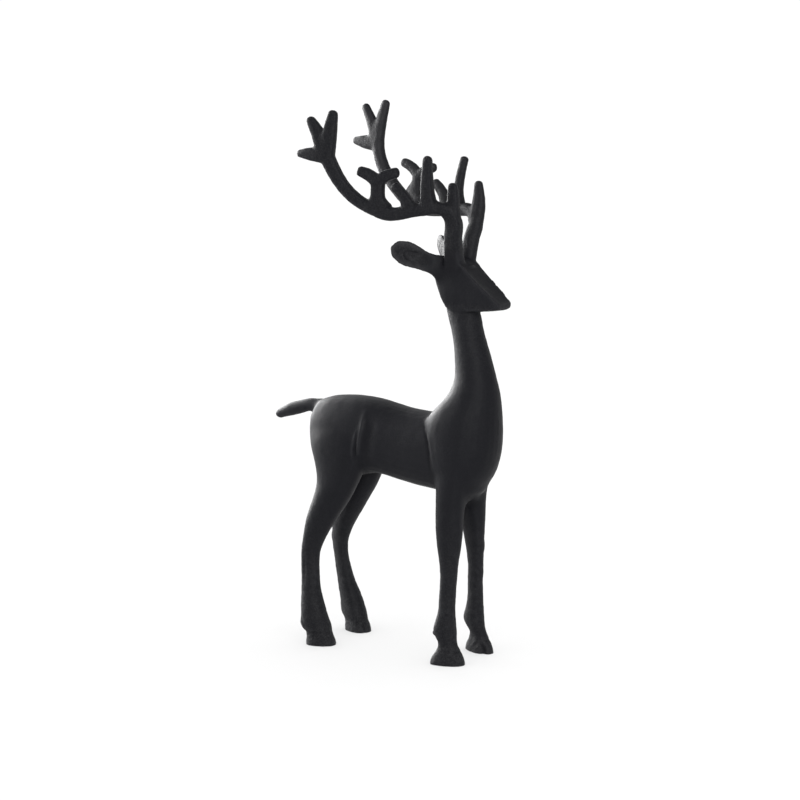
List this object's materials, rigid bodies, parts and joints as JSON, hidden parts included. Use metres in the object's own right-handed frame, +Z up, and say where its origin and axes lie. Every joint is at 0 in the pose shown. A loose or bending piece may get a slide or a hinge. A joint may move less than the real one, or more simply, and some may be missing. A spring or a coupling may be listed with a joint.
{
  "type": "deer statue",
  "caption": "Standing stag figure with a raised neck, wedge-shaped head, leaf ears, short tail and tall branching antlers swept back over the body.",
  "frame": {"origin": "centre of the bounding box on the ground plane that the four hooves stand on", "axes": "+Z up, +X the way the stag faces, +Y its left side"},
  "size_m": [0.2236, 0.087, 0.45],
  "materials": {
    "black_coat": "matte"
  },
  "bodies": {
    "root": {"deer": "black_coat"}
  },
  "joints": []
}
